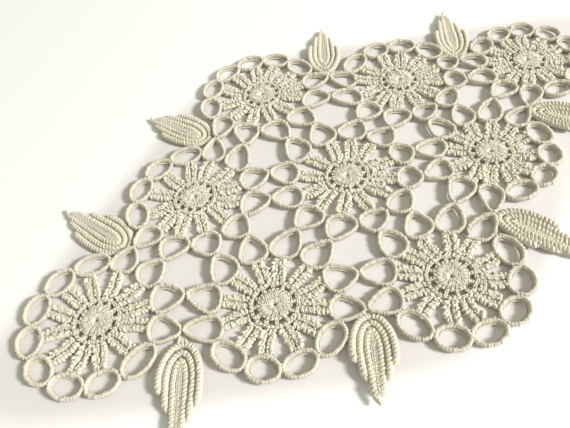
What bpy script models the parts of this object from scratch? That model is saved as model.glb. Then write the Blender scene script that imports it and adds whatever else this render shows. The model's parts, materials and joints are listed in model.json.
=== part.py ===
"""Crochet doily of nine ringed flowers in a slanted three by three field, with eight ribbed leaves.

The rows run along X, the back rows stand further along +Y, and Z is up. Each motif is one solid, worked
by itself and joined to its neighbours where its outer rings touch theirs. Sizes are in millimetres and
become metres as the points are made.
"""
import math
import random

import bmesh
import bpy
from mathutils import Vector
from mathutils.geometry import delaunay_2d_cdt

MM = 0.001

# The field of flowers
PITCH = 95.0                        # between the centres of neighbouring flowers
ROW_LEAN = math.radians(60.0)       # direction of a column, from X
JOIN_SPREAD = 10.3                  # the two joins of a pair of flowers lie this far each side of their line
JOIN_GAP = 0.3                      # between two motifs where they meet

# The rings round a flower
PETALS = 12
RING_HALF_LENGTH = 6.0              # to the middle of the band, along the flower's radius
RING_APART = 1.0                    # from the middle of the band to the crossing with the next ring
RING_POINTS = 10
BAND = 2.7                          # width of a ring's band
BAND_HEIGHT = 3.2
BAND_TAPER = 0.45                   # how far the band's upper edges draw in
NOTCH_TURN = math.radians(75.0)     # where neighbouring rings part, seen from a ring's centre
JOIN_PINCH = 0.3                    # how much a joined ring narrows towards its join
LEAF_CROWD = math.radians(3.5)      # how far a leaf crowds its two joined rings, round the flower
RIM_LIFT = 1.4                      # the rings lie this much higher than the middle
LIFT_START = 17.0
LIFT_END = 46.0

# Petals: two columns of stitches with a groove between them
PETAL_TIP_TURN = math.radians(23.0)     # half of the tip's width, seen from its ring's centre
PETAL_LEAN = math.radians(11.0)     # most that a tip wanders round its ring
PETAL_COLUMN = 2.1                  # from the petal's middle line to each column
PETAL_ROOT = 14.3
GAP_APEX = 14.8                     # where the gap between two petals starts
PETAL_SECTIONS = (
    # share of the way from root to tip, height of the columns, height of the groove
    (0.0, 3.2, 2.4),
    (0.5, 3.7, 2.2),
    (0.96, 3.3, 2.4),
)

# The disc in the middle of a flower
DISC_RINGS = (
    # radius, height, points
    (12.3, 3.5, 12),
    (10.8, 2.3, 12),
    (9.0, 3.9, 12),
    (4.5, 3.8, 6),
    (0.0, 3.4, 1),
)

FLOWERS = (
    # row, column, shift along X, shift along Y, turn in degrees, ring centres from the middle
    (0, 0, -0.3, 4.4, -2.5, 36.5),
    (0, 1, 0.7, 0.1, 2.2, 35.2),
    (0, 2, -2.2, 3.1, 2.0, 34.2),
    (1, 0, 4.0, -1.3, -3.0, 36.3),
    (1, 1, 2.7, -1.6, 2.1, 36.7),
    (1, 2, -5.3, 1.4, -0.3, 32.7),
    (2, 0, 2.3, 1.8, -4.8, 36.8),
    (2, 1, 2.7, -4.2, 1.3, 36.2),
    (2, 2, -5.6, -4.0, 2.3, 32.9),
)

# A leaf: ribs run round its blunt end and end in steps along its edges
LEAF_SPINE_START = 0.27             # where the middle slit starts, as a share of the length
LEAF_RIBS = 3
LEAF_RIB_HEIGHT = 1.2
LEAF_THICKNESS = 1.6
LEAF_FLOOR = 0.3                    # underside of the blunt end
LEAF_STATIONS = (
    # share of the length, share of the half width, ribs that still run there
    (1.00, 0.06, 1),
    (0.77, 0.36, 1),
    (0.74, 0.62, 2),
    (0.56, 0.72, 2),
    (0.53, 0.94, 3),
    (0.42, 1.00, 3),
)
LEAF_END_TURNS = (32.0, 62.0, 90.0)    # stations round the blunt end, in degrees from across

LEAVES = (
    # name, flower and its neighbour, side of the line between them, distance out from their join and
    # to the left of that, direction in degrees, length, half width, rise of the tip and of the edges
    ("leaf_front_left", (0, 0), (0, 1), -1, 3.0, -0.3, -91.0, 56.1, 12.0, 2.5, 2.4),
    ("leaf_front_right", (0, 1), (0, 2), -1, 2.5, 1.0, -93.0, 47.0, 11.8, 3.5, 2.8),
    ("leaf_right_front", (0, 2), (1, 2), -1, 2.1, 3.0, -46.5, 50.0, 10.5, 2.5, 2.4),
    ("leaf_right_back", (1, 2), (2, 2), -1, 2.6, 0.3, -37.0, 50.0, 11.2, 2.5, 2.4),
    ("leaf_back_right", (2, 1), (2, 2), 1, 3.9, 0.0, 86.5, 53.0, 11.7, 2.0, 2.4),
    ("leaf_back_left", (2, 0), (2, 1), 1, 4.1, 2.4, 85.5, 52.5, 12.0, 2.0, 2.4),
    ("leaf_left_back", (1, 0), (2, 0), 1, 4.1, 1.6, 145.5, 52.0, 12.8, 1.5, 1.6),
    ("leaf_left_front", (0, 0), (1, 0), 1, 4.0, 1.7, 141.0, 56.5, 12.8, 1.0, 1.0),
)

COTTON = (0.72, 0.69, 0.58, 1.0)
COTTON_ROUGHNESS = 0.85


def polar(length, angle):
    return Vector((length * math.cos(angle), length * math.sin(angle)))


def flower_middle(row, column, shift_x, shift_y):
    along_row = Vector((PITCH * (column - 1) + shift_x, shift_y))
    return along_row + polar(PITCH * (row - 1), ROW_LEAN)


MIDDLES = {(row[0], row[1]): flower_middle(*row[:4]) for row in FLOWERS}
# steps in row and column to the six neighbours, in order of their direction from X
NEIGHBOUR_STEPS = ((0, 1), (1, 0), (1, -1), (0, -1), (-1, 0), (-1, 1))


def join_point(here, there, side):
    """Where two flowers are joined, on the left (1) or right (-1) of the way from here to there."""
    start = MIDDLES[here]
    way = (MIDDLES[there] - start).normalized()
    across = Vector((-way.y, way.x))
    return (start + MIDDLES[there]) / 2 + across * side * JOIN_SPREAD


def leaf_at(here, there, side):
    """Whether a leaf hangs on a join, named from either of its two flowers."""
    seats = [leaf[1:4] for leaf in LEAVES]
    return (here, there, side) in seats or (there, here, -side) in seats


def lift(point, middle):
    """How high the work lies: flat under a flower's middle, raised and a little uneven at its rings."""
    share = ((point - middle).length - LIFT_START) / (LIFT_END - LIFT_START)
    share = min(max(share, 0.0), 1.0)
    wave = 0.75 + 0.25 * math.sin(point.x / 31.0 + 0.7) * math.cos(point.y / 27.0)
    return RIM_LIFT * share * share * (3 - 2 * share) * wave


class Ring:
    """The band of one ring: an oval, drawn out to a point where it is joined to the next flower."""

    def __init__(self, middle, reach, start, end, join=None, way=None):
        self.outward = polar(1.0, (start + end) / 2)
        self.across = Vector((-self.outward.y, self.outward.x))
        self.centre = middle + self.outward * reach
        self.half_width = reach * math.sin((end - start) / 2) - RING_APART
        self.join_turn = 0.0
        self.pinch = 0.0
        self.pull = Vector((0.0, 0.0))
        if join is not None:
            self.join_turn = math.atan2(way @ self.across, way @ self.outward)
            self.pinch = JOIN_PINCH
            tip = join - way * (BAND + JOIN_GAP) / 2
            self.pull = tip - self.middle_line(self.join_turn)

    def middle_line(self, turn):
        facing = (1 + math.cos(turn - self.join_turn)) / 2
        along = self.outward * RING_HALF_LENGTH * math.cos(turn)
        sideways = self.across * self.half_width * math.sin(turn) * (1 - self.pinch * facing ** 2)
        return self.centre + along + sideways + self.pull * facing ** 3

    def edge(self, turn, side):
        """A point of the outer (1) or inner (-1) edge of the band."""
        step = 0.01
        along = (self.middle_line(turn + step) - self.middle_line(turn - step)).normalized()
        return self.middle_line(turn) + Vector((along.y, -along.x)) * side * BAND / 2

    def hole(self):
        turns = [self.join_turn + math.tau * index / RING_POINTS for index in range(RING_POINTS)]
        return [self.edge(turn, -1) for turn in turns]

    def outer_arc(self):
        """The free part of the outer edge, without its two notches."""
        before = [-NOTCH_TURN + (self.join_turn + NOTCH_TURN) * index / 3 for index in (1, 2, 3)]
        after = [self.join_turn + (NOTCH_TURN - self.join_turn) * index / 3 for index in (1, 2)]
        return [self.edge(turn, 1) for turn in before + after]


class Flower:
    """One flower's rings, petals and disc, and the lines that its solid is filled between."""

    def __init__(self, row, column, turn, reach, dice):
        self.place = (row, column)
        self.middle = MIDDLES[self.place]
        self.turn = math.radians(turn)
        self.rings = [self.ring(index, reach) for index in range(PETALS)]
        self.leans = [dice.uniform(-PETAL_LEAN, PETAL_LEAN) for _ in self.rings]

    def petal_angle(self, index):
        return math.tau * (index + 0.5) / PETALS + self.turn

    def joined(self, index):
        """The flower that a ring is joined to, if any, and on which side of the way to it."""
        step = NEIGHBOUR_STEPS[(index + 1) // 2 % len(NEIGHBOUR_STEPS)]
        other = (self.place[0] + step[0], self.place[1] + step[1])
        return other if other in MIDDLES else None, 1 if index % 2 == 0 else -1

    def crossing(self, index):
        """The angle where a ring meets the one after it. A leaf on either ring moves it away from itself."""
        angle = self.petal_angle(index + 0.5)
        for ring, way in ((index % PETALS, 1), ((index + 1) % PETALS, -1)):
            other, side = self.joined(ring)
            if side == way and leaf_at(self.place, other, side):
                angle -= LEAF_CROWD * side
        return angle

    def ring(self, index, reach):
        start = self.crossing(index - 1)
        end = self.crossing(index)
        other, side = self.joined(index)
        if other is None:
            return Ring(self.middle, reach, start, end)
        way = (MIDDLES[other] - self.middle).normalized()
        return Ring(self.middle, reach, start, end, join_point(self.place, other, side), way)

    def outlines(self):
        """The flower's edge first, then its ring holes and the gaps between its petals."""
        edge = []
        openings = [ring.hole() for ring in self.rings]
        inner = math.pi - NOTCH_TURN
        for index, ring in enumerate(self.rings):
            later = (index + 1) % PETALS
            after = self.rings[later]
            edge += ring.outer_arc()
            edge.append((ring.edge(NOTCH_TURN, 1) + after.edge(-NOTCH_TURN, 1)) / 2)
            left = math.pi + self.leans[index] - PETAL_TIP_TURN
            right = -math.pi + self.leans[later] + PETAL_TIP_TURN
            openings.append([
                self.middle + polar(GAP_APEX, self.petal_angle(index + 0.5)),
                after.edge(right, 1),
                after.edge((right - inner) / 2, 1),
                (ring.edge(inner, 1) + after.edge(-inner, 1)) / 2,
                ring.edge((left + inner) / 2, 1),
                ring.edge(left, 1),
            ])
        return [edge] + openings

    def ribs(self):
        """Raised lines inside the outlines, each as its points, their heights, and whether it closes."""
        lines = []
        for index, ring in enumerate(self.rings):
            root = self.middle + polar(PETAL_ROOT, self.petal_angle(index))
            tip = ring.edge(math.pi + self.leans[index], 1)
            across = Vector((root.y - tip.y, tip.x - root.x)).normalized() * PETAL_COLUMN
            for side in (-1, 0, 1):
                points = [root.lerp(tip, share) + across * side for share, _, _ in PETAL_SECTIONS]
                heights = [groove if side == 0 else column for _, column, groove in PETAL_SECTIONS]
                lines.append((points, heights, False))
        for radius, height, count in DISC_RINGS:
            angles = [self.petal_angle(index * PETALS / count) for index in range(count)]
            points = [self.middle + polar(radius, angle) for angle in angles]
            lines.append((points, [height] * count, count > 1))
        return lines


def inside(point, outline):
    """Whether a point is inside a closed outline."""
    crossings = 0
    for start, end in zip(outline, outline[1:] + outline[:1]):
        if (start.y > point.y) != (end.y > point.y):
            cut = start.x + (point.y - start.y) * (end.x - start.x) / (end.y - start.y)
            crossings += cut > point.x
    return crossings % 2 == 1


def fill(outlines, ribs=()):
    """Triangles between the outlines and through the ribs, by number in one list of all their points."""
    points = []
    edges = []
    for line, closed in [(outline, True) for outline in outlines] + [(rib[0], rib[2]) for rib in ribs]:
        first = len(points)
        points += line
        edges += [(first + index, first + index + 1) for index in range(len(line) - 1)]
        if closed:
            edges.append((first + len(line) - 1, first))
    found, _, faces, sources, _, _ = delaunay_2d_cdt(points, edges, [], 0, 0.00001)
    triangles = []
    for face in faces:
        centre = sum((found[number] for number in face), Vector((0.0, 0.0))) / len(face)
        if inside(centre, outlines[0]) and not any(inside(centre, opening) for opening in outlines[1:]):
            triangles.append([sources[number][0] for number in face])
    return triangles


def drawn_in(outline, distance):
    """A closed outline with each point moved towards its inside, or away from it if below zero."""
    area = sum(a.x * b.y - b.x * a.y for a, b in zip(outline, outline[1:] + outline[:1]))
    moved = []
    for before, point, after in zip(outline[-1:] + outline[:-1], outline, outline[1:] + outline[:1]):
        along = (point - before).normalized() + (after - point).normalized()
        inward = Vector((-along.y, along.x)).normalized() * math.copysign(distance, area)
        moved.append(point + inward)
    return moved


def flower_mesh(flower):
    """The flower's closed solid: a top with ribs, a plain underside, and walls along each outline."""
    outlines = flower.outlines()
    ribs = flower.ribs()
    upper = [drawn_in(outlines[0], BAND_TAPER)]
    upper += [drawn_in(opening, -BAND_TAPER) for opening in outlines[1:]]
    work = bmesh.new()

    def corner(point, height):
        place = point - flower.middle
        return work.verts.new((place.x * MM, place.y * MM, (height + lift(point, flower.middle)) * MM))

    top = [corner(point, BAND_HEIGHT) for outline in upper for point in outline]
    top += [corner(point, height) for points, heights, _ in ribs for point, height in zip(points, heights)]
    under = [corner(point, 0.0) for outline in outlines for point in outline]
    for triangle in fill(outlines, ribs):
        work.faces.new([top[number] for number in triangle])
    for triangle in fill(outlines):
        work.faces.new([under[number] for number in reversed(triangle)])
    first = 0
    for outline in outlines:
        for index in range(len(outline)):
            here = first + index
            there = first + (index + 1) % len(outline)
            work.faces.new((top[here], top[there], under[there], under[here]))
        first += len(outline)
    bmesh.ops.recalc_face_normals(work, faces=work.faces)
    mesh = bpy.data.meshes.new("flower")
    work.to_mesh(mesh)
    work.free()
    return mesh


def leaf_stations(length, half_width):
    """Lines across the leaf from its middle to its edge: up one side, round the blunt end, down the other."""
    sides = []
    for share, width, ribs in LEAF_STATIONS:
        inner = Vector((share * length, 0.0))
        sides.append((inner, inner + Vector((0.0, width * half_width)), ribs))
    turned = []
    slit = LEAF_SPINE_START * length
    widest = LEAF_STATIONS[-1][0] * length
    for degrees in LEAF_END_TURNS:
        turn = math.radians(degrees)
        outer = Vector((widest - widest * math.sin(turn), half_width * abs(math.cos(turn))))
        turned.append((Vector((slit, 0.0)), outer, LEAF_RIBS))
    half = sides + turned
    other = [(inner, Vector((outer.x, -outer.y)), ribs) for inner, outer, ribs in half[:-1]]
    return half + other[::-1]


def leaf_mesh(length, half_width, rise, curl):
    """The leaf's ribbed sheet, from a grid whose rows become the stations and columns the ribs."""
    stations = leaf_stations(length, half_width)
    columns = LEAF_RIBS * 2
    work = bmesh.new()
    bmesh.ops.create_grid(work, x_segments=len(stations) - 1, y_segments=columns, size=1.0)
    for vert in work.verts:
        inner, outer, ribs = stations[round((vert.co.x + 1) / 2 * (len(stations) - 1))]
        column = min(round((vert.co.y + 1) / 2 * columns), ribs * 2)
        share = column / (ribs * 2)
        place = inner.lerp(outer, share)
        height = LEAF_FLOOR + LEAF_THICKNESS + LEAF_RIB_HEIGHT * (column % 2)
        height += rise * (place.x / length) ** 1.5 + curl * (abs(place.y) / half_width) ** 1.5
        vert.co = (place.x * MM, place.y * MM, height * MM)
    bmesh.ops.remove_doubles(work, verts=work.verts, dist=0.00001)
    bmesh.ops.recalc_face_normals(work, faces=work.faces)
    if work.faces[0].normal.z < 0:
        bmesh.ops.reverse_faces(work, faces=work.faces)
    mesh = bpy.data.meshes.new("leaf")
    work.to_mesh(mesh)
    work.free()
    return mesh


def add_leaf(name, here, there, side, out, left, direction, length, half_width, rise, curl):
    leaf = bpy.data.objects.new(name, leaf_mesh(length, half_width, rise, curl))
    angle = math.radians(direction)
    seat = join_point(here, there, side) + polar(out, angle) + polar(left, angle + math.pi / 2)
    leaf.location = (seat.x * MM, seat.y * MM, 0.0)
    leaf.rotation_euler.z = angle
    shell = leaf.modifiers.new("thickness", "SOLIDIFY")
    shell.thickness = LEAF_THICKNESS * MM
    shell.offset = -1.0
    return leaf


def add_flower(row, column, turn, reach, dice):
    flower = Flower(row, column, turn, reach, dice)
    made = bpy.data.objects.new(f"flower_{row + 1}_{column + 1}", flower_mesh(flower))
    made.location = (flower.middle.x * MM, flower.middle.y * MM, 0.0)
    return made


def cotton(name):
    material = bpy.data.materials.new(name)
    material.use_nodes = True
    shader = material.node_tree.nodes["Principled BSDF"]
    shader.inputs["Base Color"].default_value = COTTON
    shader.inputs["Roughness"].default_value = COTTON_ROUGHNESS
    material.diffuse_color = COTTON
    return material


def centre_over_origin(pieces):
    """Moves all the pieces so that the origin is under the middle of the doily, on the surface it lies on."""
    bpy.context.view_layer.update()
    graph = bpy.context.evaluated_depsgraph_get()
    corners = []
    for piece in pieces:
        shape = piece.evaluated_get(graph)
        corners += [shape.matrix_world @ vert.co for vert in shape.data.vertices]
    low = [min(corner[axis] for corner in corners) for axis in range(3)]
    high = [max(corner[axis] for corner in corners) for axis in range(3)]
    shift = Vector((-(low[0] + high[0]) / 2, -(low[1] + high[1]) / 2, -low[2]))
    for piece in pieces:
        piece.location += shift


def main():
    for old in list(bpy.data.objects):
        bpy.data.objects.remove(old, do_unlink=True)
    doily = bpy.data.collections.new("doily")
    bpy.context.scene.collection.children.link(doily)
    dice = random.Random(12)
    pieces = [add_flower(row, column, turn, reach, dice) for row, column, _, _, turn, reach in FLOWERS]
    pieces += [add_leaf(*leaf) for leaf in LEAVES]
    for piece in pieces:
        piece.data.materials.append(cotton(f"{piece.name} cotton"))
        doily.objects.link(piece)
    centre_over_origin(pieces)


main()
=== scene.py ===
"""Dresses the crochet doily in its thread: ringed flowers, bumpy petals, corded discs and ribbed leaves."""
import json
import math
import random

import bmesh
import bpy
from mathutils import Matrix, Vector

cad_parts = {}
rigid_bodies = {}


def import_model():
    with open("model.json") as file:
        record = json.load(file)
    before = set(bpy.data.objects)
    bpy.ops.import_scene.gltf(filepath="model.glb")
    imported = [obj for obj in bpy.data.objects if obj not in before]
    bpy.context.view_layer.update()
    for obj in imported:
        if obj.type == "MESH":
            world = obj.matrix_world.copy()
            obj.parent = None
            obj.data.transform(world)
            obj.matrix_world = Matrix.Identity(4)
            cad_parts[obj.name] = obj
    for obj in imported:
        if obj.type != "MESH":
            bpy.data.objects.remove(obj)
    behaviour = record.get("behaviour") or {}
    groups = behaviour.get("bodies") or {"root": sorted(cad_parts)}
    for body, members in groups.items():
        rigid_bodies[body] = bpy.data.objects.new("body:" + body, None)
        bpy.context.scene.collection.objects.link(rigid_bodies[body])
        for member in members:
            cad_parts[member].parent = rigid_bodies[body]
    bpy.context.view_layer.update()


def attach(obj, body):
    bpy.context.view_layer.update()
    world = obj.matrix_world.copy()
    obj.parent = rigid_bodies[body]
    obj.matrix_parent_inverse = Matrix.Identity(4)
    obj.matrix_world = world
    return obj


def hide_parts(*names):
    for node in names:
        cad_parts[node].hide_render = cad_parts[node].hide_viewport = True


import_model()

MM = 0.001
CENTRING = Vector((4.762, 0.72))        # where the point lies that the field is laid out from

# The field of flowers, in millimetres as all sizes down to the camera
PITCH = 95.0
ROW_LEAN = math.radians(60.0)
JOIN_SPREAD = 10.3
PETALS = 12
RING_HALF_LENGTH = 6.0
RING_APART = 1.0
BAND_REACH = 1.35                       # from a ring's middle line to where its join's middle is
JOIN_PINCH = 0.3
LEAF_CROWD = math.radians(3.5)
RIM_LIFT = 1.4
LIFT_START = 17.0
LIFT_END = 46.0
LIFT_WAVE = 0.25                        # how far the lift is uneven, as a share of it
WAVE_SPREAD = (31.0, 27.0)              # the unevenness runs one radian in so much along X, and along Y
WAVE_START = 0.7

FLOWERS = (
    # row, column, and then as measured in the photo: shift along X, shift along Y, turn in degrees, and how
    # far the rings' centres are from the middle
    (0, 0, -0.3, 4.4, -2.5, 36.5),
    (0, 1, 0.7, 0.1, 2.2, 35.2),
    (0, 2, -2.2, 3.1, 2.0, 34.2),
    (1, 0, 4.0, -1.3, -3.0, 36.3),
    (1, 1, 2.7, -1.6, 2.1, 36.7),
    (1, 2, -5.3, 1.4, -0.3, 32.7),
    (2, 0, 2.3, 1.8, -4.8, 36.8),
    (2, 1, 2.7, -4.2, 1.3, 36.2),
    (2, 2, -5.6, -4.0, 2.3, 32.9),
)

LEAVES = (
    # name, flower and its neighbour, side of the line between them, distance out from their join and
    # to the left of that, direction in degrees, length, half width, rise of the tip and of the edges
    ("leaf_front_left", (0, 0), (0, 1), -1, 3.0, -0.3, -91.0, 56.1, 12.0, 2.5, 2.4),
    ("leaf_front_right", (0, 1), (0, 2), -1, 2.5, 1.0, -93.0, 46.5, 11.8, 3.5, 2.8),
    ("leaf_right_front", (0, 2), (1, 2), -1, 2.1, 3.0, -46.5, 50.0, 10.5, 2.5, 2.4),
    ("leaf_right_back", (1, 2), (2, 2), -1, 2.6, 0.3, -37.0, 50.0, 11.2, 2.5, 2.4),
    ("leaf_back_right", (2, 1), (2, 2), 1, 3.9, 0.0, 86.5, 52.5, 11.7, 2.0, 2.4),
    ("leaf_back_left", (2, 0), (2, 1), 1, 4.1, 2.4, 85.5, 52.0, 12.0, 2.0, 2.4),
    ("leaf_left_back", (1, 0), (2, 0), 1, 4.1, 1.6, 145.5, 51.5, 12.8, 1.5, 1.6),
    ("leaf_left_front", (0, 0), (1, 0), 1, 4.0, 1.7, 141.0, 56.0, 12.8, 1.0, 1.0),
)
RIBS = {
    # how much further out the ribs turn round, then for the left and for the right side how much they draw
    # together towards the tip, and the shares of the length at which they end, the outer one first
    "leaf_front_left": (3.0, (0.40, 0.66, 0.78, 0.92), (0.40, 0.52, 0.68, 0.98)),
    "leaf_front_right": (0.0, (0.40, 0.61, 0.78, 0.92), (0.40, 0.55, 0.75, 0.98)),
    "leaf_right_front": (0.0, (0.40, 0.62, 0.84, 0.98), (0.40, 0.53, 0.74, 0.92)),
    "leaf_right_back": (0.0, (0.40, 0.62, 0.84, 0.98), (0.40, 0.55, 0.74, 0.92)),
    "leaf_back_right": (0.8, (0.40, 0.60, 0.86, 0.98), (0.40, 0.56, 0.76, 0.92)),
    "leaf_back_left": (2.5, (0.40, 0.64, 0.87, 0.98), (0.40, 0.58, 0.80, 0.92)),
    "leaf_left_back": (1.0, (0.40, 0.68, 0.86, 0.98), (0.35, 0.68, 0.86, 0.94)),
    "leaf_left_front": (0.0, (0.42, 0.68, 0.85, 0.98), (0.30, 0.53, 0.74, 0.90)),
}

# Sections of the worked lines: to the left of the line, and up
PADDING_SECTIONS = {
    "ring": (
        (-0.8, 0.0), (0.9, 0.0), (1.25, 0.35), (1.08, 0.8), (0.62, 1.1),
        (0.28, 2.4), (-0.22, 3.15), (-0.82, 3.2), (-1.22, 2.5), (-1.1, 1.15),
    ),
    "petal": (
        (-3.2, 0.1), (3.2, 0.1), (3.8, 1.0), (3.5, 2.1), (2.7, 2.7), (1.9, 2.6), (1.1, 2.5), (0.5, 1.7),
        (0.0, 0.7), (-0.5, 1.7), (-1.1, 2.5), (-1.9, 2.6), (-2.7, 2.7), (-3.5, 2.1), (-3.8, 1.0),
    ),
    "dome": (
        (-3.6, 0.05), (4.2, 0.3), (4.25, 2.6), (3.4, 3.05), (0.4, 3.3),
        (-1.7, 3.4), (-3.0, 3.15), (-3.75, 2.35),
    ),
    "cord": ((-0.9, 0.05), (0.9, 0.05), (1.1, 1.8), (0.6, 2.8), (-0.6, 2.8), (-1.1, 1.8)),
    "bar": ((-0.8, 0.2), (0.8, 0.2), (0.85, 2.1), (0.0, 2.6), (-0.85, 2.1)),
    "rib": (
        (-2.0, -0.1), (0.0, -0.3), (2.0, -0.1), (1.65, 0.5), (1.15, 1.15),
        (0.0, 1.45), (-1.15, 1.15), (-1.65, 0.5),
    ),
    "foundation": ((-0.45, 0.0), (0.45, 0.0), (0.5, 0.9), (0.0, 1.2), (-0.5, 0.9)),
    "tail": ((-0.8, -0.2), (0.0, -0.5), (0.8, -0.2), (0.8, 0.8), (0.0, 1.2), (-0.8, 0.8)),
}

# Strands of each stitch, as points along the line, to its left, and up
RING_STITCH = (
    ((-0.50, 0.78, 1.0), (-0.40, 0.42, 2.3), (-0.35, -0.35, 3.5), (-0.30, -1.24, 2.95), (-0.34, -1.30, 1.0)),
    ((0.18, 0.78, 1.0), (0.32, 0.42, 2.3), (0.34, -0.35, 3.56), (0.24, -1.26, 3.0), (0.18, -1.30, 1.0)),
    ((-0.85, 1.22, 0.58), (0.00, 1.28, 0.82), (0.85, 1.22, 0.58)),
)
KNOB_STITCH = (
    ((-0.70, 1.0, 0.95), (-0.60, 0.8, 2.25), (-0.28, 0.05, 3.08), (0.10, -0.84, 2.4), (0.32, -1.12, 0.8)),
    ((-0.12, 1.04, 0.90), (0.06, 0.84, 2.30), (0.38, 0.02, 3.16), (0.68, -0.80, 2.30), (0.82, -1.08, 0.85)),
)
SMALL_KNOB_STITCH = (
    ((-0.55, 0.62, 1.65), (-0.30, 0.26, 2.72), (0.05, -0.32, 2.70), (0.30, -0.74, 1.60)),
    ((0.02, 0.70, 1.70), (0.30, 0.30, 2.80), (0.62, -0.30, 2.62), (0.82, -0.66, 1.60)),
)
CHAIN_STITCH = (
    ((-0.95, 0.58, -0.15), (-0.20, 0.62, 0.25), (0.55, 0.40, 0.35), (1.15, 0.05, 0.02)),
    ((-0.95, -0.58, -0.15), (-0.20, -0.62, 0.25), (0.55, -0.40, 0.35), (1.15, -0.05, 0.02)),
)
INNER_STITCH = (
    ((-0.16, 1.85, 2.50), (-0.26, 1.00, 3.35), (-0.42, -0.40, 3.68), (-0.52, -1.75, 3.45)),
    ((0.16, 1.85, 2.50), (0.26, 1.00, 3.30), (0.42, -0.40, 3.60), (0.52, -1.75, 3.40)),
)
OUTER_STITCH = (
    ((-0.05, 1.90, 3.45), (-0.20, 0.70, 3.85), (-0.48, -0.80, 3.92), (-0.80, -1.95, 3.50)),
    ((0.75, 1.90, 3.45), (0.62, 0.70, 3.80), (0.35, -0.80, 3.86), (0.05, -1.95, 3.45)),
)
RIB_STITCH = (
    ((-0.84, 1.62, 0.3), (-0.62, 1.22, 1.25), (-0.24, 0.25, 1.76), (0.22, -0.94, 1.5), (0.52, -1.62, 0.35)),
    ((-0.26, 1.60, 0.30), (-0.04, 1.18, 1.35), (0.34, 0.25, 1.86), (0.80, -0.94, 1.60), (1.08, -1.60, 0.35)),
)
TAIL_STITCH = (
    ((-0.45, 0.80, 0.05), (-0.25, 0.72, 0.80), (0.05, 0.0, 1.30), (0.35, -0.72, 0.75), (0.50, -0.80, 0.05)),
)

STITCH_KINDS = {
    # strands, half the thickness of their thread, and how many sides it is drawn with
    "ring": (RING_STITCH, 0.31, 4),
    "knob": (KNOB_STITCH, 0.45, 5),
    "small knob": (SMALL_KNOB_STITCH, 0.40, 4),
    "chain": (CHAIN_STITCH, 0.42, 4),
    "small chain": (CHAIN_STITCH, 0.34, 4),
    "inner": (INNER_STITCH, 0.36, 4),
    "outer": (OUTER_STITCH, 0.38, 4),
    "rib": (RIB_STITCH, 0.36, 4),
    "tail": (TAIL_STITCH, 0.42, 4),
}
WORKED_LINES = {
    # stitch, its length along the line, its rise above it, and then how far it is random: its turn in
    # degrees, its size as a share, and the wobble of its thread
    "rings": ("ring", 1.5, 0.0, 5.0, 0.07, 0.25),
    "petal columns": ("small knob", 1.7, 0.0, 11.0, 0.10, 0.35),
    "petal edges": ("knob", 1.9, 0.0, 14.0, 0.14, 0.40),
    "inner round": ("inner", 1.257, 0.0, 5.0, 0.06, 0.25),
    "inner chain": ("chain", 2.06, 3.45, 5.0, 0.06, 0.25),
    "outer round": ("outer", 1.828, 0.0, 5.0, 0.06, 0.25),
    "outer chain": ("chain", 2.2, 3.15, 5.0, 0.06, 0.25),
    "bars": ("chain", 1.6, 2.7, 5.0, 0.06, 0.25),
    "cord chain": ("chain", 2.2, 2.95, 9.0, 0.06, 0.25),
    "ribs": ("rib", 2.05, 0.0, 8.0, 0.06, 0.35),
    "foundation": ("small chain", 1.5, 1.1, 5.0, 0.06, 0.25),
    "roots": ("tail", 0.95, 0.0, 9.0, 0.06, 0.25),
    "tail": ("tail", 0.95, 0.0, 7.0, 0.06, 0.25),
}
PADDING_WOBBLE = 0.25
DOME_WOBBLE = 0.5
WOBBLE_SCALE = 260.0                    # of the noise that the thread wanders by, to the metre
SECOND_DRAW = 7.0                       # added to a seed, so that a second random draw differs
STRAND_END = 0.7                        # how thick a strand is where it goes into the work, as a share
LINE_END = 0.6                          # the same for a line of work at its ends
PETAL_TAPER = 1                         # over how many of a line's points it gets its full girth
LEAF_TAPER = 3

# A flower's lines: how its rings and petals lie, and how far they are random, each from and to
RING_STEPS = 48
RING_HEIGHT = 0.15
RING_TIP = (-0.2, 0.4)
RING_ROLL = (-0.3, 0.3)
RING_OUT_OF_TRUE = (-0.7, 0.7)
PETAL_STEPS = 8
PETAL_ROOT = 13.0                       # from the flower's middle
PETAL_LEAN = (-13.0, 13.0)              # in degrees, at the tip
ROOT_LEAN = 0.2                         # share of the lean that the root has
PETAL_BOW = (-1.3, 1.3)
PETAL_RISE = (-0.3, 0.5)
COLUMN_APART = 0.8                      # a column's distance from the petal's middle at its ends
COLUMN_GAP = (0.2, 0.6)                 # added to that half way
COLUMN_SWAY = (-0.2, 0.2)
EDGE_APART = 2.2
EDGE_BULGE = 0.8
EDGE_WIDTH = (0.92, 1.14)
EDGE_WANDER = (-0.25, 0.25)
EDGE_RISE = (-0.4, 0.4)

# Radii of a flower's disc: its rounds from the inside, and the points of the bars between its eyelets
INNER_ROUND = 2.8
INNER_CHAIN = 4.6
DOME_ROUND = 5.0
OUTER_ROUND = 6.4
OUTER_CHAIN = 8.4
CORD_ROUND = 12.6
BAR_RADII = (8.6, 10.3, 12.0)
ROUND_STEPS = 48

# Seeds of what is random
FLOWER_DICE = 40
FLOWER_SEEDS = (30, 10)                 # between rows, and between the flowers of a row
LEAF_SEED = 400
LEAF_SEEDS = 10                         # between leaves

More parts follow.
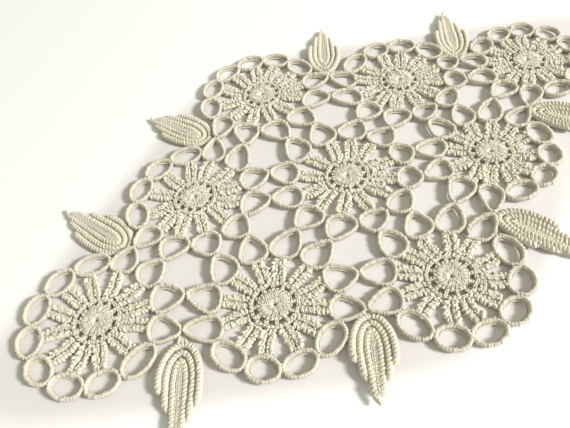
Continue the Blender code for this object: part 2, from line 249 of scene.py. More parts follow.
# A leaf's lines, from its blunt end: its three ribs from the outside, its slit, its roots and its tail
LEAF_WIDEST = 20.5
LEAF_WIDTH = 12.0                       # half width that the crests' places are given for
CRESTS = (
    # place of the crest at the blunt end, and to the side at the widest place
    (1.3, 10.5),
    (5.2, 6.9),
    (9.0, 3.2),
)
TIP_START = 0.86                        # share of the way from the widest place to the tip
TIP_CLOSING = 0.6                       # share by which the crests close in from there to the tip
FURTHER_OUT = 0.9                       # share of a leaf's later start by which its blunt end moves
FURTHER_SPREAD = 20.0                   # over how long the rest of it is added
ARM_STEPS = 12
APEX_STEPS = 10
END_TUCK = 4.5                          # how long a rib's end turns in and down to the rib beside it
TUCK_IN = 0.8
TUCK_DOWN = 0.6
LEAF_FLOOR = 0.6
LEAF_CURVE = 1.5                        # power by which its edges and tip rise and its crests draw together
SLIT_START = 11.4
SLIT_END = 0.9                          # share of the length
SLIT_APART = 0.62
SLIT_STEPS = 14
ROOT_TUCK = 0.6                         # how far the roots end before the outer rib's crest
ROOT_REACH = 2.2                        # how far they start before the blunt end
ROOT_APART = 0.9
ROOT_SPREAD = 1.3
ROOT_STEPS = 4
TAIL_START = 0.94                       # share of the length
TAIL_OVER = 0.6                         # how far the tail stands out past the length
TAIL_STEPS = 6

# Cotton, by its colour where it stands out and its painted shade down in the work, and what shifts it from
# one to the other
FLOWER_LIT_AND_SHADED = ((0.80, 0.755, 0.665), (0.47, 0.43, 0.33))
LEAF_LIT_AND_SHADED = ((0.815, 0.77, 0.675), (0.5, 0.465, 0.36))
CREST_SHADE_SHARE = 0.55
PATCH_SHARE = 0.5
FIBRE_SHARE = 0.25
PATCH_SCALE = 55.0                      # to the metre
FIBRE_SCALE = 2600.0
PLIES = 3.0
PLY_TURNS = 1.15                        # to the millimetre of strand
PLY_RELIEF = 0.5
FIBRE_RELIEF = 0.5
THREAD_RELIEF = 0.12

# Flat sizes, in metres: a flower across its rings, and its crochet pressed flat, without the openings
FLOWER_CUT = (0.092, 0.088)

# Camera, fitted to the nine flowers and their joins
CAMERA_TARGET = Vector((-32.39, -21.36, 0.0)) * MM
CAMERA_AZIMUTH = math.radians(5.109)
CAMERA_HEIGHT = math.radians(52.026)
CAMERA_ROLL = math.radians(-11.943)
CAMERA_DISTANCE = 0.32697
CAMERA_LENS = 35.08

# Light, from the right and a little in front
LIGHT_AZIMUTH = math.radians(-23.0)
LIGHT_HEIGHT = math.radians(33.0)
LIGHT_DISTANCE = 3.0
LIGHT_SIZE = 0.6
LIGHT_POWER = 122.0
LIGHT_COLOUR = (1.0, 0.98, 0.94)
ROOM_COLOUR = (1.0, 1.0, 0.80)
ROOM_STRENGTH = 0.5
FLOOR_NEAR_SHADED = (0.705, 0.69, 0.705)       # painted shade under and beside the doily
FLOOR_FAR = (0.89, 0.893, 0.935)
FLOOR_FADE = (0.12, 0.136)              # where the first starts to give way to the second, and where it has
FLOOR_ROUNDING = 6.0                    # power that rounds the first one's corners
FLOOR_HALF_SIZE = 2.0


def polar(length, angle):
    return Vector((length * math.cos(angle), length * math.sin(angle)))


def flower_middle(row, column, shift_x, shift_y):
    along_row = Vector((PITCH * (column - 1) + shift_x, shift_y))
    return along_row + polar(PITCH * (row - 1), ROW_LEAN) + CENTRING


MIDDLES = {figures[:2]: flower_middle(*figures[:4]) for figures in FLOWERS}
# Steps in row and column to the six neighbours, in the order of their direction from X
NEIGHBOUR_STEPS = ((0, 1), (1, 0), (1, -1), (0, -1), (-1, 0), (-1, 1))


def join_point(here, there, side):
    """Where two flowers are joined, on the left (1) or right (-1) of the way from here to there."""
    start = MIDDLES[here]
    way = (MIDDLES[there] - start).normalized()
    across = Vector((-way.y, way.x))
    return (start + MIDDLES[there]) / 2 + across * side * JOIN_SPREAD


def leaf_at(here, there, side):
    seats = [leaf[1:4] for leaf in LEAVES]
    return (here, there, side) in seats or (there, here, -side) in seats


def lift(point, middle):
    """How high the work lies: flat under a flower's middle, raised and a little uneven at its rings."""
    share = ((point - middle).length - LIFT_START) / (LIFT_END - LIFT_START)
    share = min(max(share, 0.0), 1.0)
    wave = math.sin(point.x / WAVE_SPREAD[0] + WAVE_START) * math.cos(point.y / WAVE_SPREAD[1])
    return RIM_LIFT * share * share * (3 - 2 * share) * (1 - LIFT_WAVE + LIFT_WAVE * wave)


class Ring:
    """The middle line of one ring: an oval, drawn out to a point where it is joined to the next flower."""

    def __init__(self, middle, reach, start, end, join=None, way=None):
        self.outward = polar(1.0, (start + end) / 2)
        self.across = Vector((-self.outward.y, self.outward.x))
        self.centre = middle + self.outward * reach
        self.half_width = reach * math.sin((end - start) / 2) - RING_APART
        self.join_turn = 0.0
        self.pinch = 0.0
        self.pull = Vector((0.0, 0.0))
        if join is not None:
            self.join_turn = math.atan2(way @ self.across, way @ self.outward)
            self.pinch = JOIN_PINCH
            self.pull = join - way * BAND_REACH - self.middle_line(self.join_turn)

    def middle_line(self, turn):
        facing = (1 + math.cos(turn - self.join_turn)) / 2
        along = self.outward * RING_HALF_LENGTH * math.cos(turn)
        sideways = self.across * self.half_width * math.sin(turn) * (1 - self.pinch * facing ** 2)
        return self.centre + along + sideways + self.pull * facing ** 3


class Flower:
    """One flower's lines of work: its rings, the middle and edges of its petals, and its disc."""

    def __init__(self, row, column, turn, reach):
        self.place = (row, column)
        self.middle = MIDDLES[self.place]
        self.turn = math.radians(turn)
        self.dice = random.Random(FLOWER_DICE + row * 3 + column)
        self.rings = [self.ring(index, reach) for index in range(PETALS)]

    def petal_angle(self, index):
        return math.tau * (index + 0.5) / PETALS + self.turn

    def joined(self, index):
        step = NEIGHBOUR_STEPS[(index + 1) // 2 % len(NEIGHBOUR_STEPS)]
        other = (self.place[0] + step[0], self.place[1] + step[1])
        return other if other in MIDDLES else None, 1 if index % 2 == 0 else -1

    def crossing(self, index):
        angle = self.petal_angle(index + 0.5)
        for ring, way in ((index % PETALS, 1), ((index + 1) % PETALS, -1)):
            other, side = self.joined(ring)
            if side == way and leaf_at(self.place, other, side):
                angle -= LEAF_CROWD * side
        return angle

    def ring(self, index, reach):
        start = self.crossing(index - 1)
        end = self.crossing(index)
        other, side = self.joined(index)
        if other is None:
            return Ring(self.middle, reach, start, end)
        way = (MIDDLES[other] - self.middle).normalized()
        return Ring(self.middle, reach, start, end, join_point(self.place, other, side), way)

    def at(self, point, height):
        return Vector((point.x, point.y, height + lift(point, self.middle)))

    def ring_lines(self):
        """Closed lines round the rings, each a little tipped and out of true, as none lies like the next."""
        lines = []
        for ring in self.rings:
            tip = self.dice.uniform(*RING_TIP)
            roll = self.dice.uniform(*RING_ROLL)
            out_of_true = self.dice.uniform(*RING_OUT_OF_TRUE)
            skew = self.dice.uniform(0.0, math.tau)
            points = []
            for step in range(RING_STEPS):
                turn = math.tau * step / RING_STEPS
                place = ring.middle_line(turn)
                free = (1 - math.cos(turn - ring.join_turn)) / 2
                place += (place - ring.centre).normalized() * out_of_true * free * math.cos(2 * turn + skew)
                height = max(RING_HEIGHT + tip * math.cos(turn) + roll * math.sin(turn), 0.0)
                points.append(self.at(place, height))
            lines.append(points)
        return lines

    def petal_lines(self):
        """Each petal's middle line, its two columns of stitches, and the lines of knobs along its edges."""
        middles = []
        columns = []
        edges = []
        swell = [math.sin(math.pi * step / PETAL_STEPS) for step in range(PETAL_STEPS + 1)]
        for index, ring in enumerate(self.rings):
            lean = math.radians(self.dice.uniform(*PETAL_LEAN))
            root = self.middle + polar(PETAL_ROOT, self.petal_angle(index) + lean * ROOT_LEAN)
            tip = ring.middle_line(math.pi + lean)
            bow = self.dice.uniform(*PETAL_BOW)
            across = (tip - root).orthogonal().normalized()
            spine = []
            for step, bulge in enumerate(swell):
                spine.append(root.lerp(tip, step / PETAL_STEPS) + across * bow * bulge)
            rise = self.dice.uniform(*PETAL_RISE)
            middles.append([self.at(point, rise * bulge) for point, bulge in zip(spine, swell)])
            gap = self.dice.uniform(*COLUMN_GAP)
            for side in (-1, 1):
                width = self.dice.uniform(*EDGE_WIDTH)
                column = []
                edge = []
                for point, bulge in zip(spine, swell):
                    apart = COLUMN_APART + gap * bulge + self.dice.uniform(*COLUMN_SWAY)
                    column.append(self.at(point + across * side * apart, rise * bulge))
                    wander = self.dice.uniform(*EDGE_WANDER)
                    height = rise * bulge + self.dice.uniform(*EDGE_RISE)
                    apart = width * (EDGE_APART + EDGE_BULGE * bulge) + wander
                    edge.append(self.at(point + across * side * apart, height))
                columns.append(column)
                # Knobs leave a petal's ends free, and are worked up one edge and down the other
                edges.append(edge[1:-1] if side < 0 else edge[-2:0:-1])
        return middles, columns, edges

    def round_line(self, radius):
        angles = [math.tau * step / ROUND_STEPS for step in range(ROUND_STEPS)]
        return [(self.middle + polar(radius, angle)).to_3d() for angle in angles]

    def bar_lines(self):
        """Short lines across the round of eyelets, one inwards of each gap between two petals."""
        lines = []
        for index in range(PETALS):
            angle = self.petal_angle(index + 0.5)
            lines.append([(self.middle + polar(radius, angle)).to_3d() for radius in BAR_RADII])
        return lines


class Leaf:
    """One leaf's lines of work, from its blunt end at its join to its tip."""

    def __init__(self, name, here, there, side, out, left, direction, length, half_width, rise, curl):
        self.name = name
        self.start, *sides = RIBS[name]
        self.narrowing = {way: figures[0] for way, figures in zip((1, -1), sides)}
        self.ends = {way: figures[1:] for way, figures in zip((1, -1), sides)}
        self.long_side = 1 if self.ends[1][-1] > self.ends[-1][-1] else -1
        self.angle = math.radians(direction)
        self.seat = (
            join_point(here, there, side) + polar(out, self.angle) + polar(left, self.angle + math.pi / 2)
        )
        self.length = length
        self.half_width = half_width
        self.rise = rise
        self.curl = curl
        self.widest = LEAF_WIDEST + self.start

    def at(self, x, y):
        place = self.seat + polar(x, self.angle) + polar(y, self.angle + math.pi / 2)
        height = LEAF_FLOOR + self.rise * (max(x, 0.0) / self.length) ** LEAF_CURVE
        height += self.curl * (abs(y) / self.half_width) ** LEAF_CURVE
        return Vector((place.x, place.y, height))

    def rib_offset(self, rib, x, side):
        """How far a rib's crest is from the leaf's middle line on the left (1) or right (-1)."""
        share = max(x - self.widest, 0.0) / (self.length - self.widest)
        offset = CRESTS[rib][1] * self.half_width / LEAF_WIDTH
        offset *= 1 - self.narrowing[side] * share ** LEAF_CURVE
        tip = max(share - TIP_START, 0.0) / (1 - TIP_START)
        return offset * (1 - TIP_CLOSING * tip ** 2)

    def further(self, x):
        """A place on the blunt end's middle line, in a leaf whose ribs turn round further out."""
        return x + self.start * (FURTHER_OUT + x / FURTHER_SPREAD)

    def rib_line(self, rib):
        apex = self.further(CRESTS[rib][0])
        line = []
        for side in (1, -1):
            end = self.length * self.ends[side][rib]
            arm = []
            for step in range(ARM_STEPS + 1):
                x = end + (self.widest - end) * step / ARM_STEPS
                tuck = max(1 - (end - x) / END_TUCK, 0.0) ** 2
                y = self.rib_offset(rib, x, side) - TUCK_IN * tuck
                arm.append(self.at(x, side * y) - Vector((0, 0, TUCK_DOWN * tuck)))
            for step in range(1, APEX_STEPS):
                turn = math.pi / 2 * step / APEX_STEPS
                x = self.widest - (self.widest - apex) * math.sin(turn)
                arm.append(self.at(x, side * self.rib_offset(rib, x, side) * math.cos(turn)))
            if side == 1:
                line += arm + [self.at(apex, 0.0)]
            else:
                line += arm[::-1]
        return line

    def rib_lines(self):
        return [self.rib_line(rib) for rib in range(len(CRESTS))]

    def foundation_lines(self):
        start = self.further(SLIT_START)
        lines = []
        for side in (-1, 1):
            run = self.length * SLIT_END - start
            xs = [start + run * step / SLIT_STEPS for step in range(SLIT_STEPS + 1)]
            lines.append([self.at(x, side * SLIT_APART) for x in xs])
        return lines

    def root_lines(self):
        """Short lines that join the blunt end to the rings."""
        end = self.further(CRESTS[0][0]) - ROOT_TUCK
        lines = []
        for side in (-1, 0, 1):
            line = []
            for step in range(ROOT_STEPS + 1):
                share = step / ROOT_STEPS
                x = end * share - ROOT_REACH * (1 - share)
                line.append(self.at(x, side * (ROOT_APART + ROOT_SPREAD * share)))
            lines.append(line)
        return lines

    def tail_line(self):
        start = self.length * TAIL_START
        side = self.long_side * self.rib_offset(len(CRESTS) - 1, start, self.long_side)
        reach = self.length - start + TAIL_OVER
        line = []
        for step in range(TAIL_STEPS + 1):
            share = step / TAIL_STEPS
            line.append(self.at(start + reach * share, side * (1 - share) ** 2))
        return line


class Wire:
    """An output socket, so that sums of fields and textures read as plain arithmetic."""

    def __init__(self, board, socket):
        self.board = board
        self.socket = socket

    def math(self, kind, first, second):
        return self.board.node("ShaderNodeMath", {"operation": kind}, {0: first, 1: second})

    def __add__(self, other):
        return self.math("ADD", self, other)

    __radd__ = __add__

    def __sub__(self, other):
        return self.math("SUBTRACT", self, other)

    def __rsub__(self, other):
        return self.math("SUBTRACT", other, self)

    def __mul__(self, other):
        return self.math("MULTIPLY", self, other)

    __rmul__ = __mul__

    def out(self, name):
        """Another output of the same node."""
        return Wire(self.board, self.socket.node.outputs[name])


class Board:
    """A node tree and the one way that nodes are put on it."""

    def __init__(self, tree):
        self.tree = tree

    def node(self, kind, settings=None, values=None):
        """Adds a node, sets its settings, then its sockets by name or number, and gives its first output."""
        made = self.tree.nodes.new(kind)
        for key, value in (settings or {}).items():
            setattr(made, key, value)
        for key, value in (values or {}).items():
            if isinstance(key, int):
                socket = made.inputs[key]
            else:
                socket = next(item for item in made.inputs if item.name == key and item.enabled)
            for each in value if isinstance(value, list) else [value]:
                if isinstance(each, Wire):
                    self.tree.links.new(each.socket, socket)
                else:
                    socket.default_value = each
        shown = [item for item in made.outputs if item.enabled]
        return Wire(self, shown[0]) if shown else None


def new_board(name, *sockets):
    """A node tree with the named inputs, its board, and its inputs' node."""
    tree = bpy.data.node_groups.new(name, "GeometryNodeTree")
    for socket, kind in sockets:
        tree.interface.new_socket(name=socket, in_out="INPUT", socket_type=f"NodeSocket{kind}")
    tree.interface.new_socket(name="Thread work", in_out="OUTPUT", socket_type="NodeSocketGeometry")
    board = Board(tree)
    return board, board.node("NodeGroupInput")


def finish_thread(board, work, wobble):
    """Lets the thread wander a little, as handwork does, and ends the tree."""
    noise = board.node("ShaderNodeTexNoise", None, {"Scale": WOBBLE_SCALE, "Detail": 1.0}).out("Color")
    drift = board.node("ShaderNodeVectorMath", {"operation": "SUBTRACT"}, {0: noise, 1: (0.5, 0.5, 0.5)})
    drift = board.node("ShaderNodeVectorMath", {"operation": "SCALE"}, {0: drift, "Scale": wobble})
    work = board.node("GeometryNodeSetPosition", None, {"Geometry": work, "Offset": drift})
    work = board.node("GeometryNodeSetShadeSmooth", None, {"Geometry": work})
    board.node("NodeGroupOutput", None, {"Thread work": work})
    return board.tree


def padding_tree():
    """A tree that sweeps a section along a line, as the body of the work under its stitches."""
    board, given = new_board(
        "padding", ("Line", "Geometry"), ("Section", "Object"), ("Wobble", "Float"))
    # The paddings carry no crest, so the cotton paints them all in its shaded tone
    line = board.node("GeometryNodeSetCurveNormal", {"mode": "Z_UP"}, {"Curve": given.out("Line")})
    section = board.node("GeometryNodeObjectInfo", None, {"Object": given.out("Section")}).out("Geometry")
    body = board.node("GeometryNodeCurveToMesh", None, {
        "Curve": line, "Profile Curve": section, "Scale": board.node("GeometryNodeInputRadius"),
        "Fill Caps": True})
    return finish_thread(board, body, given.out("Wobble"))


def stitches_tree():
    """A tree that sets a stitch along a line, turned with it, none quite like the next."""
    board, given = new_board(
        "stitches", ("Line", "Geometry"), ("Stitch", "Object"), ("Stitch length", "Float"),
        ("Rise", "Float"), ("Turn", "Float"), ("Unevenness", "Float"), ("Wobble", "Float"), ("Seed", "Int"))
    line = board.node("GeometryNodeSetCurveNormal", {"mode": "Z_UP"}, {"Curve": given.out("Line")})
    steps = board.node("GeometryNodeResampleCurve", {"mode": "LENGTH"}, {
        "Curve": line, "Length": given.out("Stitch length")})
    facing = board.node("FunctionNodeAxesToRotation", {"primary_axis": "X", "secondary_axis": "Z"}, {
        "Primary Axis": board.node("GeometryNodeInputTangent"), "Secondary Axis": (0.0, 0.0, 1.0)})
    twist = board.node("FunctionNodeRandomValue", {"data_type": "FLOAT_VECTOR"}, {
        "Min": given.out("Turn") * -1.0, "Max": given.out("Turn"), "Seed": given.out("Seed")})
    turned = board.node("FunctionNodeRotateRotation", {"rotation_space": "LOCAL"}, {
        "Rotation": facing, "Rotate By": board.node("FunctionNodeEulerToRotation", None, {"Euler": twist})})
    uneven = board.node("FunctionNodeRandomValue", {"data_type": "FLOAT"}, {
        "Min": 1.0 - given.out("Unevenness"), "Max": 1.0 + given.out("Unevenness"),
        "Seed": given.out("Seed") + SECOND_DRAW})
    stitch = board.node("GeometryNodeObjectInfo", None, {"Object": given.out("Stitch")}).out("Geometry")
    raised = board.node("GeometryNodeSetPosition", None, {
        "Geometry": stitch, "Offset": board.node("ShaderNodeCombineXYZ", None, {"Z": given.out("Rise")})})
    stitches = board.node("GeometryNodeInstanceOnPoints", None, {
        "Points": steps, "Instance": raised, "Rotation": turned,
        "Scale": board.node("GeometryNodeInputRadius") * uneven})
    stitches = board.node("GeometryNodeRealizeInstances", None, {"Geometry": stitches})
    return finish_thread(board, stitches, given.out("Wobble"))


def gather_tree(parts, thread):
    """A tree that brings finished lines of work together as one piece."""
    board, _ = new_board("piece of work")
    lines = [board.node("GeometryNodeObjectInfo", None, {"Object": part}).out("Geometry") for part in parts]
    joined = board.node("GeometryNodeJoinGeometry", None, {"Geometry": lines})
    whole = board.node("GeometryNodeRealizeInstances", None, {"Geometry": joined})
    whole = board.node("GeometryNodeSetMaterial", None, {"Geometry": whole, "Material": thread})
    board.node("NodeGroupOutput", None, {"Thread work": whole})
    return board.tree


def set_inputs(modifier, **values):
    """Sets a modifier's inputs, named as on its tree with low lines for spaces."""
    for item in modifier.node_group.interface.items_tree:
        key = item.name.replace(" ", "_").lower()
        if item.in_out == "INPUT" and values.get(key) is not None:
            modifier[item.identifier] = values[key]


def section_object(name, points):
    """A closed line for a padding's section, with its left drawn to the right and its top down, as the
    sweep takes it."""
    curve = bpy.data.curves.new(name, "CURVE")
    curve.dimensions = "3D"
    spline = curve.splines.new("POLY")
    spline.points.add(len(points) - 1)
    for place, (left, up) in zip(spline.points, points):
        place.co = (-left * MM, -up * MM, 0.0, 1.0)
    spline.use_cyclic_u = True
    made = bpy.data.objects.new(name, curve)
    workbox.objects.link(made)
    return made


def add_strand(work, path, girth, thread_map, crest, sides):
    """A closed strand of thread through the path's points, with its length and turn as its thread map."""
    points = [Vector(point) for point in path]
    rings = []
    lengths = [0.0]
    whole = points[-1] - points[0]
    first = Vector((0.0, 0.0, 1.0)) if abs(whole.x) > abs(whole.y) else Vector((1.0, 0.0, 0.0))
    for index, point in enumerate(points):
        before = points[max(index - 1, 0)]
        after = points[min(index + 1, len(points) - 1)]
        along = (after - before).normalized()
        first = (first - along * first.dot(along)).normalized()
        second = along.cross(first)
        slim = STRAND_END if index in (0, len(points) - 1) else 1.0
        ring = []
        for side in range(sides):
            turn = math.tau * (side + 0.5) / sides
            place = point + (first * math.cos(turn) + second * math.sin(turn)) * girth * slim
            vert = work.verts.new(place * MM)
            # A crest of 0 at the strand's slim ends gives them painted shade
            vert[crest] = 0.0 if slim < 1.0 else 1.0
            ring.append(vert)
        rings.append(ring)
        if index:
            lengths.append(lengths[-1] + (point - points[index - 1]).length)
    for index, (low, high) in enumerate(zip(rings, rings[1:])):
        for side in range(sides):
            other = (side + 1) % sides
            face = work.faces.new((low[side], low[other], high[other], high[side]))
            for loop, (step, turn) in zip(face.loops, ((0, 0), (0, 1), (1, 1), (1, 0))):
                loop[thread_map].uv = (lengths[index + step], (side + turn) / sides)
    work.faces.new(rings[0][::-1])
    work.faces.new(rings[-1])


def stitch_object(name, strands, girth, sides):
    """A stitch of a few strands. Its crest is 1 where it stands out and 0 where it goes into the work, where
    the cotton paints shade.
    """
    work = bmesh.new()
    thread_map = work.loops.layers.uv.new("thread")
    crest = work.verts.layers.float.new("crest")
    for path in strands:
        add_strand(work, path, girth, thread_map, crest, sides)
    mesh = bpy.data.meshes.new(name)
    work.to_mesh(mesh)
    work.free()
    made = bpy.data.objects.new(name, mesh)
    workbox.objects.link(made)
    return made


def guide(lines, closed, girths, tree, **values):
    """Lines of work of one kind, with the tree that works them."""
    curve = bpy.data.curves.new("guide", "CURVE")
    curve.dimensions = "3D"
    for line in lines:
        spline = curve.splines.new("POLY")
        spline.points.add(len(line) - 1)
        for index, (place, point) in enumerate(zip(spline.points, line)):
            place.co = (*(point * MM), 1.0)
            place.radius = girths[index] if girths else 1.0
        spline.use_cyclic_u = closed
    made = bpy.data.objects.new("guide", curve)
    workbox.objects.link(made)
    modifier = made.modifiers.new("work", "NODES")
    modifier.node_group = tree
    set_inputs(modifier, **values)
    return made


def padding(lines, closed, section, wobble=PADDING_WOBBLE, girths=None):
    return guide(lines, closed, girths, PADDING, section=SECTIONS[section], wobble=wobble * MM)


def stitches(lines, closed, work, seed, girths=None):
    """Stitches along lines of one kind, set as the table of worked lines says."""
    stitch, length, rise, turn, uneven, wobble = WORKED_LINES[work]
    return guide(
        lines, closed, girths, STITCHING, stitch=STITCHES[stitch], stitch_length=length * MM,
        rise=rise * MM, turn=math.radians(turn), unevenness=uneven, wobble=wobble * MM, seed=seed)


def finished(name, parts, thread):
    """One motif as a plain mesh at the origin, from its lines of work."""
    holder = bpy.data.objects.new(f"{name} lines", bpy.data.meshes.new(f"{name} lines"))
    workbox.objects.link(holder)
    modifier = holder.modifiers.new("motif", "NODES")
    modifier.node_group = gather_tree(parts, thread)
    bpy.context.view_layer.update()
    mesh = bpy.data.meshes.new_from_object(holder.evaluated_get(bpy.context.evaluated_depsgraph_get()))
    mesh.name = name
    for used in [holder, *parts]:
        bpy.data.objects.remove(used, do_unlink=True)
    made = bpy.data.objects.new(name, mesh)
    bpy.context.scene.collection.objects.link(made)
    return made


def cotton(name, lit_and_shaded):
    """Unbleached cotton thread: plied strands, with painted shade that makes them paler where they stand out
    and duller down in the work.
    """
    lit, shaded = lit_and_shaded
    material = bpy.data.materials.new(name)
    material.use_nodes = True
    shader = material.node_tree.nodes["Principled BSDF"]
    board = Board(material.node_tree)
    place = board.node("ShaderNodeTexCoord").out("Object")
    crest = board.node("ShaderNodeAttribute", {"attribute_name": "crest"}).out("Fac")
    thread_map = board.node("ShaderNodeUVMap", {"uv_map": "thread"})
    thread = board.node("ShaderNodeSeparateXYZ", None, {0: thread_map})
    patches = board.node("ShaderNodeTexNoise", None, {"Vector": place, "Scale": PATCH_SCALE, "Detail": 3.0})
    fibres = board.node("ShaderNodeTexNoise", None, {"Vector": place, "Scale": FIBRE_SCALE, "Detail": 3.0})
    # Painted shade: the colour goes to the shaded tone where the crest is 0, at the ends of strands and all
    # over the paddings, which have no crest; patches and fibres vary the tone at random
    amount = crest * CREST_SHADE_SHARE + patches * PATCH_SHARE + fibres * FIBRE_SHARE
    colour = board.node("ShaderNodeMix", {"data_type": "RGBA"}, {
        "Factor": amount, "A": (*shaded, 1.0), "B": (*lit, 1.0)})
    board.tree.links.new(colour.socket, shader.inputs["Base Color"])
    plies = board.node("ShaderNodeMath", {"operation": "SINE"}, {
        0: (thread.out("X") * PLY_TURNS + thread.out("Y") * PLIES) * math.tau})
    height = plies * crest * PLY_RELIEF + fibres * FIBRE_RELIEF
    bump = board.node("ShaderNodeBump", None, {
        "Height": height, "Distance": THREAD_RELIEF * MM, "Strength": 0.6})
    board.tree.links.new(bump.socket, shader.inputs["Normal"])
    shader.inputs["Roughness"].default_value = 0.82
    shader.inputs["Specular IOR Level"].default_value = 0.3
    shader.inputs["Sheen Weight"].default_value = 0.25
    shader.inputs["Sheen Roughness"].default_value = 0.5
    return material


def set_camera():
    sight = bpy.data.cameras.new("camera")
    sight.lens = CAMERA_LENS
    sight.sensor_width = 36.0
    sight.clip_start = 0.01
    camera = bpy.data.objects.new("camera", sight)
    bpy.context.scene.collection.objects.link(camera)
    back = Vector((
        math.sin(CAMERA_AZIMUTH) * math.cos(CAMERA_HEIGHT),
        -math.cos(CAMERA_AZIMUTH) * math.cos(CAMERA_HEIGHT),
        math.sin(CAMERA_HEIGHT)))
    facing = (-back).to_track_quat("-Z", "Y").to_matrix().to_4x4()
    camera.matrix_world = (
        Matrix.Translation(CAMERA_TARGET + back * CAMERA_DISTANCE)
        @ facing @ Matrix.Rotation(CAMERA_ROLL, 4, "Z"))
    bpy.context.scene.camera = camera


def set_light():
    """A soft key light from the right and a little in front, and a pale room round it."""
    lamp = bpy.data.lights.new("key light", "AREA")
    lamp.shape = "DISK"
    lamp.size = LIGHT_SIZE
    lamp.energy = LIGHT_POWER
    lamp.color = LIGHT_COLOUR
    key = bpy.data.objects.new("key light", lamp)
    bpy.context.scene.collection.objects.link(key)
    where = Vector((
        math.cos(LIGHT_AZIMUTH) * math.cos(LIGHT_HEIGHT),
        math.sin(LIGHT_AZIMUTH) * math.cos(LIGHT_HEIGHT),
        math.sin(LIGHT_HEIGHT))) * LIGHT_DISTANCE
    key.matrix_world = Matrix.Translation(where) @ where.to_track_quat("Z", "Y").to_matrix().to_4x4()
    world = bpy.data.worlds.new("room")
    world.use_nodes = True
    room = world.node_tree.nodes["Background"]
    room.inputs["Color"].default_value = (*ROOM_COLOUR, 1.0)
    room.inputs["Strength"].default_value = ROOM_STRENGTH
    bpy.context.scene.world = world
    bpy.context.scene.view_settings.view_transform = "Standard"


def lay_floor():
    """A pale surface, with painted shade under and beside the doily and whiter away from it. How far away is
    told with the rows' lean taken out.
    """
    material = bpy.data.materials.new("pale floor")
    material.use_nodes = True
    shader = material.node_tree.nodes["Principled BSDF"]
    board = Board(material.node_tree)
    parts = board.node("ShaderNodeSeparateXYZ", None, {0: board.node("ShaderNodeTexCoord").out("Object")})
    across = (parts.out("X") - parts.out("Y") * (1 / math.tan(ROW_LEAN))) * math.sin(ROW_LEAN)
    power_along = parts.math("POWER", parts.out("Y"), FLOOR_ROUNDING)
    power_across = parts.math("POWER", across, FLOOR_ROUNDING)
    away = parts.math("POWER", power_along + power_across, 1 / FLOOR_ROUNDING)
    fade = board.node("ShaderNodeMapRange", {"interpolation_type": "SMOOTHSTEP"}, {
        "Value": away, "From Min": FLOOR_FADE[0], "From Max": FLOOR_FADE[1]})
    # Painted shade: the darker near colour under and beside the doily gives way to the whiter far one
    colour = board.node("ShaderNodeMix", {"data_type": "RGBA"}, {
        "Factor": fade, "A": (*FLOOR_NEAR_SHADED, 1.0), "B": (*FLOOR_FAR, 1.0)})
    board.tree.links.new(colour.socket, shader.inputs["Base Color"])
    shader.inputs["Roughness"].default_value = 0.9
    shader.inputs["Specular IOR Level"].default_value = 0.2
    work = bmesh.new()
    bmesh.ops.create_grid(work, x_segments=1, y_segments=1, size=FLOOR_HALF_SIZE)
    mesh = bpy.data.meshes.new("floor")
    work.to_mesh(mesh)
    work.free()
    mesh.materials.append(material)
    floor = bpy.data.objects.new("floor", mesh)
    bpy.context.scene.collection.objects.link(floor)


def tapered(line, ends):
    """Girths at a line's points, slimmer towards its ends."""
    last = len(line) - 1
    return [min(1.0, LINE_END + (1 - LINE_END) * min(step, last - step) / ends) for step in range(last + 1)]


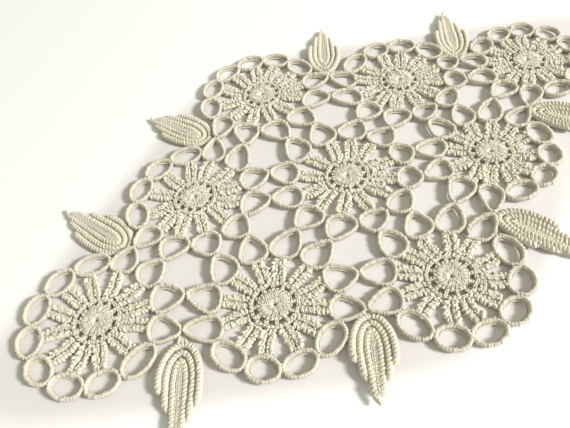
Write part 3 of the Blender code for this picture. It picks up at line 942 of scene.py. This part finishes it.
def work_flower(flower, name):
    """One flower's body of paddings, and its cover of stitches."""
    seed = flower.place[0] * FLOWER_SEEDS[0] + flower.place[1] * FLOWER_SEEDS[1]
    rings = flower.ring_lines()
    middles, columns, edges = flower.petal_lines()
    bars = flower.bar_lines()
    body = finished(name, [
        padding(rings, True, "ring"),
        padding(middles, False, "petal", girths=tapered(middles[0], PETAL_TAPER)),
        padding([flower.round_line(DOME_ROUND)], True, "dome", wobble=DOME_WOBBLE),
        padding(bars, False, "bar"),
        padding([flower.round_line(CORD_ROUND)], True, "cord"),
    ], FLOWER_COTTON)
    cover = finished(f"{name}_stitches", [
        stitches(rings, True, "rings", seed),
        stitches(columns, False, "petal columns", seed + 1),
        stitches(edges, False, "petal edges", seed + 2),
        stitches([flower.round_line(INNER_ROUND)], True, "inner round", seed + 3),
        stitches([flower.round_line(INNER_CHAIN)], True, "inner chain", seed + 4),
        stitches([flower.round_line(OUTER_ROUND)], True, "outer round", seed + 5),
        stitches([flower.round_line(OUTER_CHAIN)], True, "outer chain", seed + 6),
        stitches(bars, False, "bars", seed + 7),
        stitches([flower.round_line(CORD_ROUND)], True, "cord chain", seed + 8),
    ], FLOWER_COTTON)
    return body, cover


def work_leaf(leaf, name, number):
    """One leaf's body of paddings, and its cover of stitches."""
    seed = LEAF_SEED + number * LEAF_SEEDS
    ribs = leaf.rib_lines()
    foundation = leaf.foundation_lines()
    roots = leaf.root_lines()
    tail = leaf.tail_line()
    rib_girths = tapered(ribs[0], LEAF_TAPER)
    body = finished(name, [
        padding(ribs, False, "rib", girths=rib_girths),
        padding(foundation, False, "foundation"),
        padding(roots, False, "tail"),
        padding([tail], False, "tail"),
    ], LEAF_COTTON)
    cover = finished(f"{name}_stitches", [
        stitches(ribs, False, "ribs", seed, girths=rib_girths),
        stitches(foundation, False, "foundation", seed + 2),
        stitches(roots, False, "roots", seed + 1),
        stitches([tail], False, "tail", seed + 3, girths=tapered(tail, LEAF_TAPER)),
    ], LEAF_COTTON)
    return body, cover


def declare(body, cover, node, flat):
    """A motif's body stands for its solid, and its stitches go with it."""
    for piece in (body, cover):
        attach(piece, "root")
    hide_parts(node)


set_camera()
set_light()
lay_floor()

workbox = bpy.data.collections.new("workbox")
bpy.context.scene.collection.children.link(workbox)
PADDING = padding_tree()
STITCHING = stitches_tree()
FLOWER_COTTON = cotton("flower cotton", FLOWER_LIT_AND_SHADED)
LEAF_COTTON = cotton("leaf cotton", LEAF_LIT_AND_SHADED)
SECTIONS = {name: section_object(f"{name} section", points) for name, points in PADDING_SECTIONS.items()}
STITCHES = {name: stitch_object(f"{name} stitch", *kind) for name, kind in STITCH_KINDS.items()}

for row, column, _, _, turn, reach in FLOWERS:
    node = f"flower_{row + 1}_{column + 1}"
    body, cover = work_flower(Flower(row, column, turn, reach), f"{node}_crochet")
    declare(body, cover, node, FLOWER_CUT)

for number, figures in enumerate(LEAVES):
    leaf = Leaf(*figures)
    body, cover = work_leaf(leaf, f"{leaf.name}_crochet", number)
    declare(body, cover, leaf.name, (leaf.length * MM, leaf.half_width * 2 * MM))

for tool in list(workbox.objects):
    bpy.data.objects.remove(tool, do_unlink=True)
bpy.data.collections.remove(workbox)
